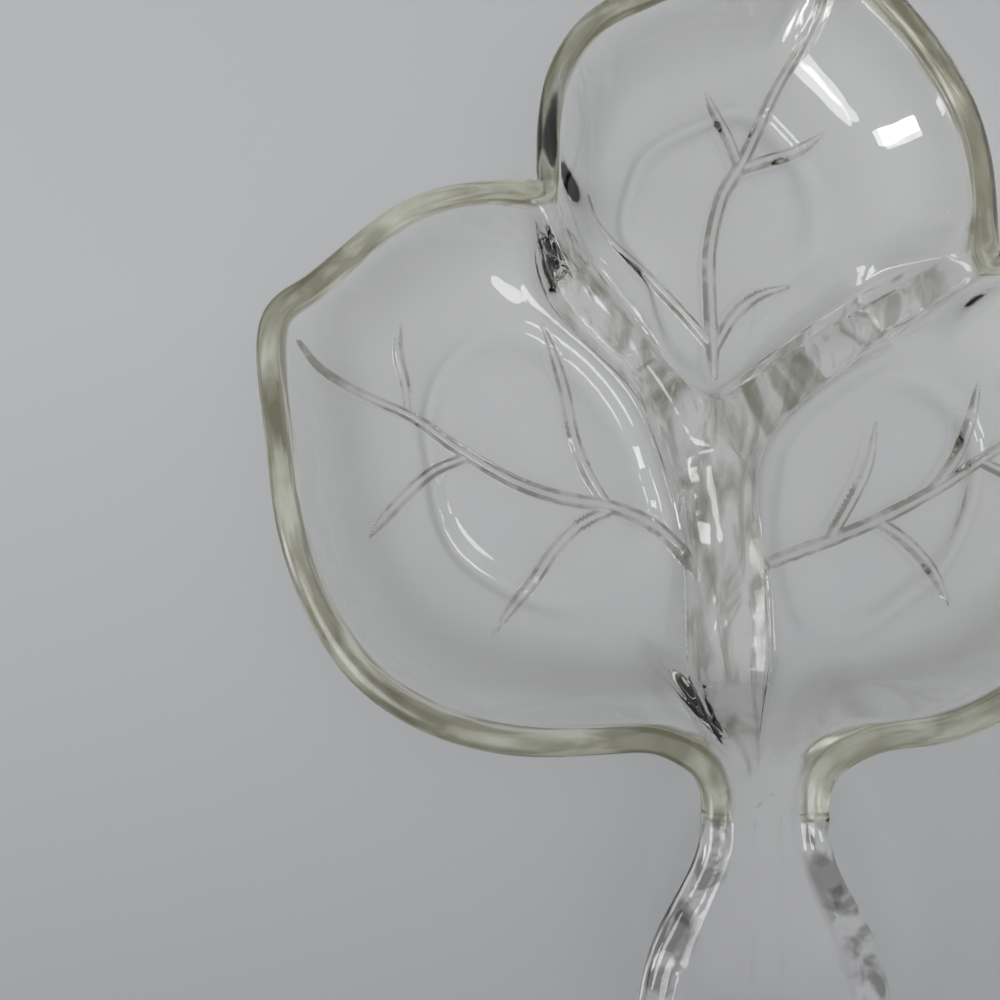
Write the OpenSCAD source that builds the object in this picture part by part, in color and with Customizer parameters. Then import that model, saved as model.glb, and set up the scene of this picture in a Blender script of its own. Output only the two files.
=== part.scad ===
// Leaf-shaped relish tray of pressed glass: three wells with a rolled rim, Y-shaped dividers,
// raised veins, three feet and a flat stem handle. Origin: middle of the tray's outline, on the table.
// +Y runs from the stem to the top lobe's tip, +X to the right, +Z up.

/* [Leaf] */
// Width across the side lobes, tip to tip
tray_w = 238; // [200:1:280]
// Length from the top lobe's tip to the end of the stem
tray_l = 311; // [260:1:360]
// Height from the table to the top of the rim
tray_h = 28; // [25:0.5:38]

/* [Rim and walls] */
// Width of the rim's roll where it is widest
rim_w = 7.8; // [6:0.1:9]
// Depth of the rim's roll, top to bottom
rim_h = 6.6; // [5:0.1:8]
// Thickness of the glass where a wall or the stem meets the rim
edge_t = 4.5; // [3.5:0.1:5]
// Thickness of the walls round the lobes
wall_t = 3.4; // [2.5:0.1:4]
// Steepness of a wall: higher keeps the curve low for longer
wall_curve = 2.2; // [1.8:0.1:3]

/* [Floors and feet] */
// Thickness of the three floors
floor_t = 4; // [3:0.1:5]
// Height of the foot rings under the floors
foot_h = 1.5; // [1:0.1:4]
// Width of a foot ring
foot_w = 5; // [3:0.1:7]

/* [Dividers] */
// Height of a divider's shoulder above the floors, where the dividers meet
hub_rise = 6; // [4:0.1:9]
// Length over which a divider's underside climbs to the rim
climb_run = 16; // [10:0.5:24]

/* [Veins] */
// Width of the three midribs
midrib_w = 4; // [2.5:0.1:5]
// Height of the three midribs
midrib_h = 1.9; // [0.8:0.1:2.4]
// Width of the side veins
vein_w = 3.6; // [2:0.1:4.5]
// Height of the side veins
vein_h = 1.6; // [0.8:0.1:2]

/* [Stem] */
// Width of the rib along the stem
stem_rib_w = 9; // [6:0.1:11]
// Height of the rib along the stem
stem_rib_h = 1.2; // [0.6:0.1:2]

/* [Hidden] */
// Samples between two control points of a rim, a divider and a vein
RIM_N = 3;
CREST_N = 2;
VEIN_N = 3;

// Rims, anticlockwise round the leaf, at the rim's inner edge. Each row: place across and along
// as shares of leaf_w and leaf_l, and the roll's width as a share of rim_w. Places are counted
// from the hub where the dividers meet.
left_rim_shares = [
    [-0.212, 0.207, 0.82], [-0.255, 0.210, 0.68], [-0.304, 0.205, 0.72], [-0.352, 0.190, 0.78],
    [-0.402, 0.158, 0.84], [-0.447, 0.128, 0.88], [-0.474, 0.114, 0.92], [-0.483, 0.103, 0.95],
    [-0.485, 0.075, 0.96], [-0.477, 0.016, 0.93], [-0.465, -0.059, 0.95], [-0.439, -0.120, 0.97],
    [-0.389, -0.178, 1.07], [-0.315, -0.217, 1.06], [-0.228, -0.234, 1.03], [-0.141, -0.234, 0.97],
    [-0.081, -0.234, 0.92], [-0.041, -0.245, 0.97]];
top_rim_shares = [
    [0.264, 0.167, 0.82], [0.268, 0.209, 0.72], [0.260, 0.254, 0.72], [0.240, 0.296, 0.74],
    [0.207, 0.335, 0.78], [0.170, 0.368, 0.84], [0.136, 0.397, 0.90], [0.120, 0.426, 0.94],
    [0.111, 0.431, 0.95], [0.087, 0.421, 0.94], [0.044, 0.409, 0.90], [-0.022, 0.394, 0.86],
    [-0.087, 0.375, 0.84], [-0.142, 0.352, 0.80], [-0.174, 0.317, 0.76], [-0.185, 0.276, 0.74],
    [-0.186, 0.245, 0.74], [-0.189, 0.211, 0.78]];
right_rim_shares = [
    [0.125, -0.244, 0.97], [0.163, -0.233, 0.92], [0.229, -0.225, 0.97], [0.294, -0.203, 1.03],
    [0.359, -0.160, 1.04], [0.408, -0.101, 0.98], [0.435, -0.042, 0.95], [0.453, 0.016, 0.93],
    [0.460, 0.056, 0.95], [0.455, 0.069, 0.94], [0.436, 0.086, 0.90], [0.403, 0.115, 0.84],
    [0.359, 0.140, 0.76], [0.318, 0.150, 0.70], [0.278, 0.149, 0.82]];
// Left half of the stem, from the neck to the middle of its end. The right half mirrors it.
stem_shares = [
    [-0.014, -0.262, 0.95], [-0.002, -0.290, 0.85], [-0.002, -0.314, 0.83], [-0.004, -0.336, 0.83],
    [-0.013, -0.362, 0.86], [-0.032, -0.392, 0.88], [-0.053, -0.423, 0.88], [-0.066, -0.456, 0.88],
    [-0.070, -0.490, 0.88], [-0.062, -0.517, 0.88], [-0.036, -0.532, 0.88], [0.000, -0.538, 0.88],
    [0.0405, -0.540, 0.88]];
// Rows of the stem that belong to the lobes' rims
NECK_ROWS = 3;
// Roll's width over each notch between two lobes, as a share of rim_w
notch_share = 0.86;

// Dividers, from the rim or the neck to the hub. Each row: the right and left shoulders' places
// seen along the divider, as shares of leaf_w and leaf_l, and the shoulders' rise from the
// hub's height to the rim's (0 to 1).
left_divider_shares = [
    [-0.212, 0.207, -0.189, 0.211, 1.00], [-0.197, 0.175, -0.175, 0.183, 0.80],
    [-0.176, 0.146, -0.151, 0.158, 0.56], [-0.141, 0.113, -0.117, 0.130, 0.36],
    [-0.104, 0.086, -0.081, 0.102, 0.22], [-0.073, 0.059, -0.047, 0.076, 0.12],
    [-0.056, 0.024, -0.022, 0.056, 0.05], [-0.042, -0.007, 0.002, 0.044, 0.00]];
right_divider_shares = [
    [0.264, 0.167, 0.278, 0.149, 1.00], [0.242, 0.161, 0.256, 0.139, 0.80],
    [0.201, 0.140, 0.212, 0.116, 0.52], [0.138, 0.112, 0.150, 0.081, 0.26],
    [0.073, 0.079, 0.084, 0.036, 0.12], [0.033, 0.059, 0.059, 0.011, 0.05],
    [0.002, 0.044, 0.050, -0.015, 0.00]];
centre_divider_shares = [
    [0.029, -0.273, 0.012, -0.270, 1.00], [0.043, -0.239, -0.002, -0.239, 0.45],
    [0.057, -0.204, -0.011, -0.204, 0.16], [0.064, -0.151, -0.014, -0.151, 0.04],
    [0.061, -0.097, -0.016, -0.097, 0.00], [0.050, -0.047, -0.027, -0.047, 0.00],
    [0.050, -0.015, -0.042, -0.007, 0.00]];
// Edges of the side wells between the rims and the centre divider
left_neck_shares = [[-0.020, -0.250], [-0.001, -0.261]];
right_neck_shares = [[0.054, -0.272], [0.080, -0.262], [0.102, -0.250]];
// Crown of a divider's crest over its shoulders, as a share of its width
crown_share = 0.28;
// Crest across a divider: places from shoulder to shoulder, and heights, as shares
crest_shares = [[0, 0], [0.22, 0.70], [0.5, 1], [0.78, 0.70], [1, 0]];
// Height of the hub's crown over the dividers' shoulders, as a share of hub_rise
hub_crown_share = 0.95;
// Flat at the middle of the hub, as a share of the hub
hub_flat_share = 0.25;

// Flat floors: middle of each as shares of leaf_w and leaf_l, then its reach from there as shares
// of leaf_w, every 30 degrees from +X
left_mid_share = [-0.250, -0.015];
top_mid_share = [-0.003, 0.254];
right_mid_share = [0.246, -0.042];
left_floor_shares = [0.193, 0.178, 0.182, 0.198, 0.162, 0.123, 0.098, 0.106, 0.131, 0.165, 0.220, 0.238];
top_floor_shares = [0.161, 0.136, 0.127, 0.093, 0.085, 0.093, 0.102, 0.127, 0.144, 0.246, 0.178, 0.186];
right_floor_shares = [0.102, 0.123, 0.153, 0.180, 0.165, 0.172, 0.172, 0.192, 0.222, 0.148, 0.114, 0.098];

// Veins: places as shares of leaf_w and leaf_l, and width and height as one share of full size
left_midrib_shares = [
    [-0.474, 0.094, 0.30], [-0.456, 0.074, 0.55], [-0.414, 0.055, 0.70], [-0.355, 0.035, 0.80],
    [-0.308, 0.009, 0.90], [-0.231, -0.026, 1.00], [-0.174, -0.041, 1.00], [-0.114, -0.049, 1.00],
    [-0.063, -0.067, 1.00], [-0.036, -0.086, 1.00], [-0.012, -0.112, 0.90]];
top_midrib_shares = [
    [0.113, 0.421, 0.30], [0.115, 0.395, 0.60], [0.104, 0.370, 0.75], [0.084, 0.342, 0.80],
    [0.062, 0.305, 0.90], [0.040, 0.269, 1.00], [0.020, 0.244, 1.00], [0.009, 0.215, 1.00],
    [0.003, 0.186, 1.00], [0.004, 0.143, 1.00], [0.007, 0.100, 1.00], [0.010, 0.070, 0.40]];
right_midrib_shares = [
    [0.446, 0.061, 0.30], [0.425, 0.044, 0.55], [0.385, 0.022, 0.70], [0.330, -0.006, 0.85],
    [0.270, -0.036, 0.95], [0.205, -0.062, 1.00], [0.146, -0.081, 1.00], [0.100, -0.094, 1.00],
    [0.060, -0.106, 0.90]];
left_vein_shares = [
    [[-0.361, 0.040, 0.55], [-0.365, 0.068, 0.90], [-0.372, 0.095, 0.90], [-0.368, 0.122, 0.25]],
    [[-0.123, -0.044, 0.80], [-0.144, -0.017, 1.00], [-0.161, 0.016, 1.00], [-0.171, 0.056, 1.00],
     [-0.183, 0.089, 0.80], [-0.199, 0.122, 0.25]],
    [[-0.291, -0.003, 0.80], [-0.329, -0.015, 0.90], [-0.362, -0.037, 1.00], [-0.386, -0.058, 1.00],
     [-0.405, -0.078, 0.25]],
    [[-0.112, -0.050, 0.90], [-0.154, -0.066, 1.00], [-0.184, -0.089, 1.00], [-0.208, -0.117, 1.00],
     [-0.232, -0.140, 0.90], [-0.261, -0.171, 0.25]]];
top_vein_shares = [
    [[0.038, 0.271, 0.80], [0.026, 0.295, 0.90], [0.010, 0.319, 0.80], [-0.005, 0.343, 0.25]],
    [[0.043, 0.267, 0.90], [0.068, 0.274, 1.00], [0.110, 0.284, 1.00], [0.147, 0.304, 0.25]],
    [[0.007, 0.096, 0.90], [0.032, 0.129, 1.00], [0.061, 0.148, 0.90], [0.102, 0.158, 0.25]],
    [[0.006, 0.100, 0.80], [-0.013, 0.118, 0.90], [-0.036, 0.138, 0.90], [-0.073, 0.168, 0.80],
     [-0.109, 0.194, 0.70], [-0.134, 0.217, 0.50], [-0.146, 0.238, 0.30]]];
right_vein_shares = [
    [[0.146, -0.081, 0.90], [0.170, -0.050, 1.00], [0.195, -0.010, 0.90], [0.205, 0.030, 0.25]],
    [[0.205, -0.062, 0.90], [0.240, -0.080, 1.00], [0.272, -0.108, 1.00], [0.295, -0.145, 0.25]],
    [[0.270, -0.036, 0.80], [0.300, -0.005, 1.00], [0.320, 0.035, 0.90], [0.330, 0.075, 0.25]],
    [[0.330, -0.006, 0.80], [0.365, -0.020, 1.00], [0.395, -0.045, 0.90], [0.410, -0.075, 0.25]]];
// Arch of a vein: places across and heights as shares of its half width and height
arch_shares = [[-1, 0], [-0.72, 0.55], [-0.3, 0.93], [0.3, 0.93], [0.72, 0.55], [1, 0]];
// Depth of a vein's edges under the well's inner face, as a share of its height
sunk_share = 0.2;
// Rib along the stem: place across and along as shares of leaf_w and leaf_l, and width and
// height as one share of full size
stem_rib_shares = [
    [0.041, -0.290, 0.30], [0.041, -0.305, 0.80], [0.041, -0.350, 0.90], [0.041, -0.400, 1.00],
    [0.041, -0.440, 1.10], [0.041, -0.465, 1.50], [0.041, -0.485, 2.00], [0.041, -0.500, 1.80],
    [0.041, -0.510, 0.90]];

// The roll's section: places across as shares of its width, heights as shares of rim_h
roll_shares = [
    [0, 0], [0.10, 0.12], [0.30, 0.20], [0.52, 0.21], [0.76, 0.17], [0.93, 0.04], [1, -0.18],
    [0.98, -0.48], [0.86, -0.70], [0.62, -0.79]];
// Steps up a well's inner and outer face, as shares of the way from its floor to its edge
inner_step_shares = [0, 0.26, 0.45, 0.60, 0.73, 0.84, 0.93, 1];
outer_step_shares = [0, 0.35, 0.58, 0.76, 0.90, 1];
// Outer edge of a foot ring, as a share of the way from the floor's middle to its edge
foot_share = 0.92;

// Rim's width at the outline's extremes, as a share of rim_w
extreme_share = 0.95;

function column(rows, i) = [for (r = rows) r[i]];
all_rim_shares = concat(left_rim_shares, top_rim_shares, right_rim_shares, stem_shares);
function span(list) = max(list) - min(list);
leaf_w = (tray_w - 2 * extreme_share * rim_w) / span(column(all_rim_shares, 0));
leaf_l = (tray_l - 2 * extreme_share * rim_w) / span(column(all_rim_shares, 1));
edge_z = tray_h - rim_h * max(column(roll_shares, 1));
under_z = edge_z - edge_t;
floor_z = foot_h + floor_t;
shoulder_low = floor_z + hub_rise;
corner_run = 2 * rim_w;

// Vector arithmetic
function xy(p) = [p[0], p[1]];
function at_z(p, z) = [p[0], p[1], z];
function unit(v) = v / norm(v);
function mix(a, b, t) = a + (b - a) * t;
function ease(t) = t <= 0 ? 0 : t >= 1 ? 1 : t * t * (3 - 2 * t);
function reversed(rows) = [for (i = [len(rows) - 1:-1:0]) rows[i]];
function part_of(list, a, b) = [for (i = [a:b]) list[i]];
function last(list) = list[len(list) - 1];
function all_but_last(list) = part_of(list, 0, len(list) - 2);
function inner_only(list) = part_of(list, 1, len(list) - 2);
function sum_to(list, n) = n <= 0 ? 0 : list[n - 1] + sum_to(list, n - 1);
function across(a, b) = a[0] * b[1] - a[1] * b[0];

// Rows of shares in millimetres: the first pairs of numbers are places, the rest stay
function placed(row, pairs) = [for (i = [0:len(row) - 1])
    i >= 2 * pairs ? row[i] : i % 2 == 0 ? row[i] * leaf_w : row[i] * leaf_l];
function placed_rows(rows, pairs) = [for (r = rows) placed(r, pairs)];

// A smooth curve through rows, whose tangents follow the spacing of their places
function gap(a, b) = sqrt(norm(xy(b) - xy(a)));
function tangent(a, b, c) =
    let (g = gap(a, b), h = gap(b, c)) (b - a) / g - (c - a) / (g + h) + (c - b) / h;
function row_tangent(p, i) = let (n = len(p) - 1)
    i == 0 ? (p[1] - p[0]) / gap(p[0], p[1])
    : i == n ? (p[n] - p[n - 1]) / gap(p[n - 1], p[n])
    : tangent(p[i - 1], p[i], p[i + 1]);
function spline(a, va, b, vb, t) =
    a * (2 * t^3 - 3 * t^2 + 1) + va * (t^3 - 2 * t^2 + t)
    + b * (3 * t^2 - 2 * t^3) + vb * (t^3 - t^2);
function between(p, i, t) = let (g = gap(p[i], p[i + 1]))
    spline(p[i], row_tangent(p, i) * g, p[i + 1], row_tangent(p, i + 1) * g, t);
function curve(p, n) = concat(
    [for (i = [0:len(p) - 2]) for (k = [0:n - 1]) between(p, i, k / n)], [last(p)]);
function travel(p) =
    let (d = [for (i = [0:len(p) - 2]) norm(xy(p[i + 1]) - xy(p[i]))])
    [for (i = [0:len(p) - 1]) sum_to(d, i)];
// Vector to the right of a curve at each of its points
function right_of(p, i) =
    let (d = unit(xy(p[min(i + 1, len(p) - 1)]) - xy(p[max(i - 1, 0)]))) [d[1], -d[0]];

// Dividers: rows of both shoulders, from the outer end to the hub
function crest_rows(shares) = curve(placed_rows(shares, 2), CREST_N);
left_crest = crest_rows(left_divider_shares);
right_crest = crest_rows(right_divider_shares);
centre_crest = crest_rows(centre_divider_shares);
function right_side(r) = [r[0], r[1]];
function left_side(r) = [r[2], r[3]];
function side_mid(r) = (right_side(r) + left_side(r)) / 2;
function shoulder_z(r) = mix(shoulder_low, edge_z, r[4]);
// Height of a divider's underside at each row: it climbs to the rim's underside at the outer end
function climb(crest) = [for (s = travel([for (r = crest) side_mid(r)]))
    mix(under_z, foot_h, ease(s / climb_run))];

// Rims: each station holds its place, the vector across the roll and how far the wall's
// thickness reaches under the roll (0 to 1). At a notch the vectors meet in one corner.
function corner_of(crest) = side_mid(crest[0])
    + unit(side_mid(crest[0]) - side_mid(crest[1])) * rim_w * notch_share;
left_corner = corner_of(left_crest);
right_corner = corner_of(right_crest);
function roll_stations(rows, first, last, ends) = let (
        p = curve(placed_rows(rows, 1), RIM_N),
        s = travel(p),
        m = len(p) - 1)
    [for (i = [0:m]) let (
            a = xy(p[i]),
            side = right_of(p, i) * rim_w * p[i][2],
            near = ease(s[i] / corner_run),
            far = ease((s[m] - s[i]) / corner_run))
        [a, mix(last - a, mix(first - a, side, near), far),
         min([for (e = ends) ease(abs(s[i] - s[e]) / corner_run)])]];
function mirrored(row) = [2 * last(stem_shares)[0] - row[0], row[1], row[2]];
left_rows = len(left_rim_shares);
stem_rows = len(stem_shares);
// Stations where the wells' edges leave the rims and where the lobes' rims end
left_well_end = RIM_N * (left_rows - 1);
left_neck_end = left_well_end + RIM_N * NECK_ROWS;
right_well_start = RIM_N * (left_rows + 2 * stem_rows - 1);
right_neck_start = right_well_start - RIM_N * NECK_ROWS;
side_rows = concat(
    left_rim_shares, stem_shares, [for (r = reversed(all_but_last(stem_shares))) mirrored(r)],
    right_rim_shares);
side_end = RIM_N * (len(side_rows) - 1);
side_roll = [for (i = [0:side_end]) let (
        r = roll_stations(side_rows, left_corner, right_corner,
                          [0, left_well_end, right_well_start, side_end])[i])
    i > left_well_end && i < right_well_start ? [r[0], r[1], 0] : r];
top_roll = roll_stations(top_rim_shares, right_corner, left_corner,
                         [0, RIM_N * (len(top_rim_shares) - 1)]);

// Stations of a rim past a notch, from one end of a divider's outer end to the other
function end_stations(crest, corner, from, to) = [for (i = [from:(to > from ? 1 : -1):to])
    let (p = mix(right_side(crest[0]), left_side(crest[0]), crest_shares[i][0]))
    [p, corner - p, 0]];
CREST_MID = 2;
CREST_END = 4;
left_rim_roll = concat(
    end_stations(left_crest, left_corner, CREST_MID, 1), part_of(side_roll, 0, left_neck_end));
right_rim_roll = concat(
    part_of(side_roll, right_neck_start, side_end),
    end_stations(right_crest, right_corner, CREST_END - 1, CREST_MID));
top_rim_roll = concat(
    end_stations(right_crest, right_corner, CREST_MID, 1), top_roll,
    end_stations(left_crest, left_corner, CREST_END - 1, CREST_MID));
stem_mid = (left_neck_end + right_neck_start) / 2;
left_stem_roll = part_of(side_roll, left_neck_end, stem_mid);
right_stem_roll = part_of(side_roll, stem_mid, right_neck_start);

// Middle of the whole outline, which is the origin
outline = [for (r = concat(side_roll, top_roll)) r[0] + r[1]];
origin = [for (i = [0:1]) (min(column(outline, i)) + max(column(outline, i))) / 2];

// A well's edge is a list of stations, anticlockwise: place, height, height of the underside,
// and the vector from the edge to the underside's
function rim_edge(roll, a, b) = [for (i = [a:b]) let (r = roll[i])
    [r[0], edge_z, under_z, unit(r[1]) * wall_t * r[2]]];
function neck_edge(shares) = [for (p = placed_rows(shares, 1)) [p, edge_z, under_z, [0, 0]]];
function right_edge_of(crest) = let (z = climb(crest)) [for (i = [0:len(crest) - 1])
    [right_side(crest[i]), shoulder_z(crest[i]), z[i], [0, 0]]];
function left_edge_of(crest) = let (z = climb(crest)) [for (i = [0:len(crest) - 1])
    [left_side(crest[i]), shoulder_z(crest[i]), z[i], [0, 0]]];
left_edge = concat(
    rim_edge(side_roll, 0, left_well_end),
    neck_edge(left_neck_shares),
    left_edge_of(centre_crest),
    inner_only(reversed(right_edge_of(left_crest))));
top_edge = concat(
    rim_edge(top_roll, 0, len(top_roll) - 1),
    inner_only(left_edge_of(left_crest)),
    all_but_last(reversed(right_edge_of(right_crest))));
right_edge = concat(
    rim_edge(side_roll, right_well_start, side_end),
    inner_only(left_edge_of(right_crest)),
    reversed(right_edge_of(centre_crest)),
    neck_edge(right_neck_shares));

// A well: its edge, its floor's middle and its floor's reach at each station
FLOOR_STEP = 30;
function reach_at(shares, a) = let (
        n = len(shares),
        t = (a + 360) % 360 / FLOOR_STEP,
        i = floor(t),
        w = [for (k = [-1:2]) shares[(i + k + n) % n]])
    leaf_w * spline(w[1], (w[2] - w[0]) / 2, w[2], (w[3] - w[1]) / 2, t - i);
function bearing(v) = atan2(v[1], v[0]);
function well(edge, mid, shares) =
    [edge, mid, [for (s = edge) reach_at(shares, bearing(s[0] - mid))], shares];
left_well = well(left_edge, placed(left_mid_share, 1), left_floor_shares);
top_well = well(top_edge, placed(top_mid_share, 1), top_floor_shares);
right_well = well(right_edge, placed(right_mid_share, 1), right_floor_shares);
function well_point(w, j, u) = let (s = w[0][j])
    mix(w[1] + unit(s[0] - w[1]) * w[2][j], s[0], u);
function inner_ring(w, u) = [for (j = [0:len(w[0]) - 1])
    at_z(well_point(w, j, u), mix(floor_z, w[0][j][1], u^wall_curve))];
function outer_ring(w, u) = [for (j = [0:len(w[0]) - 1]) let (
        s = w[0][j],
        out = mix(unit(s[0] - w[1]) * norm(s[3]), s[3], u))
    at_z(well_point(w, j, u) + out, mix(foot_h, s[2], u^wall_curve))];

// Height of a well's inner face at a place
function holds(a, b, d) = across(a, d) >= 0 && across(d, b) > 0;
function surface_z(w, p) = let (
        e = w[0],
        n = len(e),
        d = p - w[1],
        j = [for (i = [0:n - 1]) if (holds(e[i][0] - w[1], e[(i + 1) % n][0] - w[1], d)) i][0],
        a = e[j],
        b = e[(j + 1) % n],
        t = across(a[0] - w[1], d) / across(a[0] - b[0], d),
        far = norm(mix(a[0], b[0], t) - w[1]),
        near = reach_at(w[3], bearing(d)),
        u = max(0, min(1, (norm(d) - near) / (far - near))))
    mix(floor_z, mix(a[1], b[1], t), u^wall_curve);

// Faces between neighbouring rows of points, each row a closed ring
function strip(a, b, n) = [for (i = [0:n - 1]) let (j = (i + 1) % n)
    each [[a + i, b + i, b + j], [a + i, b + j, a + j]]];
function count_up(a, n) = [for (i = [0:n - 1]) a + i];
function flat(rows) = [for (r = rows) each r];
// A solid through closed rows, capped at both ends or joined from the last row to the first
module rows_solid(rows, capped) {
    n = len(rows[0]);
    m = len(rows);
    polyhedron(flat(rows), concat(
        flat([for (k = [0:m - (capped ? 2 : 1)]) strip(k * n, ((k + 1) % m) * n, n)]),
        capped ? [count_up(0, n), reversed(count_up((m - 1) * n, n))] : []), convexity = 10);
}

module glass(tint) color(tint) translate(-origin) children();
module rim_glass() glass([0.72, 0.76, 0.66, 0.75]) children();
module clear_glass() glass([0.82, 0.87, 0.85, 0.45]) children();
module divider_glass() glass([0.74, 0.80, 0.76, 0.65]) children();
module vein_glass() glass([0.90, 0.93, 0.92, 0.85]) children();

// The rim's roll along its stations
function roll_row(r) = concat(
    [for (q = roll_shares) at_z(r[0] + r[1] * q[0], edge_z + rim_h * q[1])],
    [at_z(r[0] + unit(r[1]) * wall_t * r[2], under_z)]);
module roll(stations) rows_solid([for (r = stations) roll_row(r)], true);

// A well's wall from the flat floor up to the edge
module wall(w) rows_solid(concat(
    [for (u = outer_step_shares) outer_ring(w, u)],
    [for (u = reversed(inner_step_shares)) inner_ring(w, u)]), false);
module floor_plate(w) rows_solid([outer_ring(w, 0), inner_ring(w, 0)], true);

// The air in a well, up to the rim's top
module well_air(w) rows_solid(concat(
    [for (u = inner_step_shares) inner_ring(w, u)],
    [[for (s = w[0]) at_z(s[0], tray_h + vein_h)]]), true);

module foot(w) {
    rim = [for (j = [0:len(w[0]) - 1]) well_point(w, j, 0)];
    linear_extrude(foot_h) difference() {
        polygon([for (p = rim) mix(w[1], p, foot_share)]);
        polygon([for (p = rim) mix(w[1], p, foot_share) + unit(w[1] - p) * foot_w]);
    }
}

// A divider: a crowned crest between vertical sides, over its underside
function crown_row(r, full) = [for (q = crest_shares) at_z(
    mix(right_side(r), left_side(r), q[0]),
    shoulder_z(r) + norm(left_side(r) - right_side(r)) * crown_share * q[1] * full)];
function crest_top(crest) = [for (i = [0:len(crest) - 1])
    crown_row(crest[i], ease(i / CREST_N))];
module divider(crest) {
    top = crest_top(crest);
    under = climb(crest);
    rows_solid([for (i = [0:len(crest) - 1])
        concat(reversed(top[i]), [for (p = top[i]) at_z(p, under[i])])], true);
}

// The hub fills the triangle between the three dividers' inner ends
module hub() {
    ring = flat([for (c = [centre_crest, right_crest, left_crest])
        all_but_last(reversed(last(crest_top(c))))]);
    mid = side_mid(last(centre_crest)) / 3 + side_mid(last(right_crest)) / 3
        + side_mid(last(left_crest)) / 3;
    rows_solid([
        [for (p = ring) at_z(p, foot_h)],
        ring,
        [for (p = ring) at_z(mix(mid, xy(p), hub_flat_share),
                             shoulder_low + hub_rise * hub_crown_share)]], true);
}

// A vein: an arch swept along its curve, whose foot follows the well's inner face
function vein_row(w, p, i, width, height) = let (
        c = xy(p[i]),
        side = right_of(p, i) * width * p[i][2] / 2,
        za = surface_z(w, c - side),
        zb = surface_z(w, c + side))
    concat(
        [for (q = arch_shares) at_z(
            c + side * q[0],
            mix(za, zb, (q[0] + 1) / 2) + height * p[i][2] * (q[1] > 0 ? q[1] : -sunk_share))],
        [at_z(c + side, zb - floor_t), at_z(c - side, za - floor_t)]);
module vein(w, shares, width, height) {
    p = curve(placed_rows(shares, 1), VEIN_N);
    rows_solid([for (i = [0:len(p) - 1]) vein_row(w, p, i, width, height)], true);
}
module midrib(w, shares) intersection() {
    well_air(w);
    vein(w, shares, midrib_w, midrib_h);
}
module side_veins(w, veins, midrib) intersection() {
    well_air(w);
    difference() {
        union() for (v = veins) vein(w, v, vein_w, vein_h);
        vein(w, midrib, midrib_w, midrib_h);
    }
}

// The stem's web between its rims, and the rib along its middle
module web() translate([0, 0, under_z]) linear_extrude(edge_t) polygon(concat(
    [for (i = [left_well_end:right_well_start]) side_roll[i][0]],
    [for (p = reversed(placed_rows(right_neck_shares, 1))) p],
    [for (q = crest_shares) mix(right_side(centre_crest[0]), left_side(centre_crest[0]), q[0])],
    [for (p = reversed(placed_rows(left_neck_shares, 1))) p]));
function rib_row(p, i) = let (side = right_of(p, i) * stem_rib_w * p[i][2] / 2)
    [for (q = arch_shares) at_z(xy(p[i]) + side * q[0],
                                edge_z + stem_rib_h * min(1, p[i][2]) * q[1])];
module rib() {
    p = curve(placed_rows(stem_rib_shares, 1), VEIN_N);
    rows_solid([for (i = [0:len(p) - 1]) rib_row(p, i)], true);
}

module left_floor() clear_glass() floor_plate(left_well);
module top_floor() clear_glass() floor_plate(top_well);
module right_floor() clear_glass() floor_plate(right_well);
module left_wall() clear_glass() wall(left_well);
module top_wall() clear_glass() wall(top_well);
module right_wall() clear_glass() wall(right_well);
module left_rim() rim_glass() roll(left_rim_roll);
module top_rim() rim_glass() roll(top_rim_roll);
module right_rim() rim_glass() roll(right_rim_roll);
module left_divider() divider_glass() divider(left_crest);
module right_divider() divider_glass() divider(right_crest);
module centre_divider() divider_glass() divider(centre_crest);
module divider_hub() divider_glass() hub();
module left_foot() clear_glass() foot(left_well);
module top_foot() clear_glass() foot(top_well);
module right_foot() clear_glass() foot(right_well);
module left_midrib() vein_glass() midrib(left_well, left_midrib_shares);
module top_midrib() vein_glass() midrib(top_well, top_midrib_shares);
module right_midrib() vein_glass() midrib(right_well, right_midrib_shares);
module left_side_veins() vein_glass()
    side_veins(left_well, left_vein_shares, left_midrib_shares);
module top_side_veins() vein_glass()
    side_veins(top_well, top_vein_shares, top_midrib_shares);
module right_side_veins() vein_glass()
    side_veins(right_well, right_vein_shares, right_midrib_shares);
module stem_web() clear_glass() web();
module stem_rim_left() rim_glass() roll(left_stem_roll);
module stem_rim_right() rim_glass() roll(right_stem_roll);
module stem_rib() clear_glass() rib();

left_floor();
top_floor();
right_floor();
left_wall();
top_wall();
right_wall();
left_rim();
top_rim();
right_rim();
left_divider();
right_divider();
centre_divider();
divider_hub();
left_foot();
top_foot();
right_foot();
left_midrib();
top_midrib();
right_midrib();
left_side_veins();
top_side_veins();
right_side_veins();
stem_web();
stem_rim_left();
stem_rim_right();
stem_rib();
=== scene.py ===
"""Leaf-shaped relish tray of clear pressed glass, in three wells with a flat stem handle.

The frame holds the tray's named regions as separate solids that meet face to face. Glass shows
every inner face, so the regions are merged here into the one closed body that the real tray is:
the shared faces go, the floors and foot rings are drawn again as even rings, the whole is
smoothed, the hollows under the dividers are rounded, and the veins and the stem's rib are raised
out of the upper face.
"""

import logging
import math
from collections.abc import Iterable
from dataclasses import dataclass, field
from enum import Enum

import bmesh
import bpy
from mathutils import Matrix, Vector
from mathutils.bvhtree import BVHTree


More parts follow.
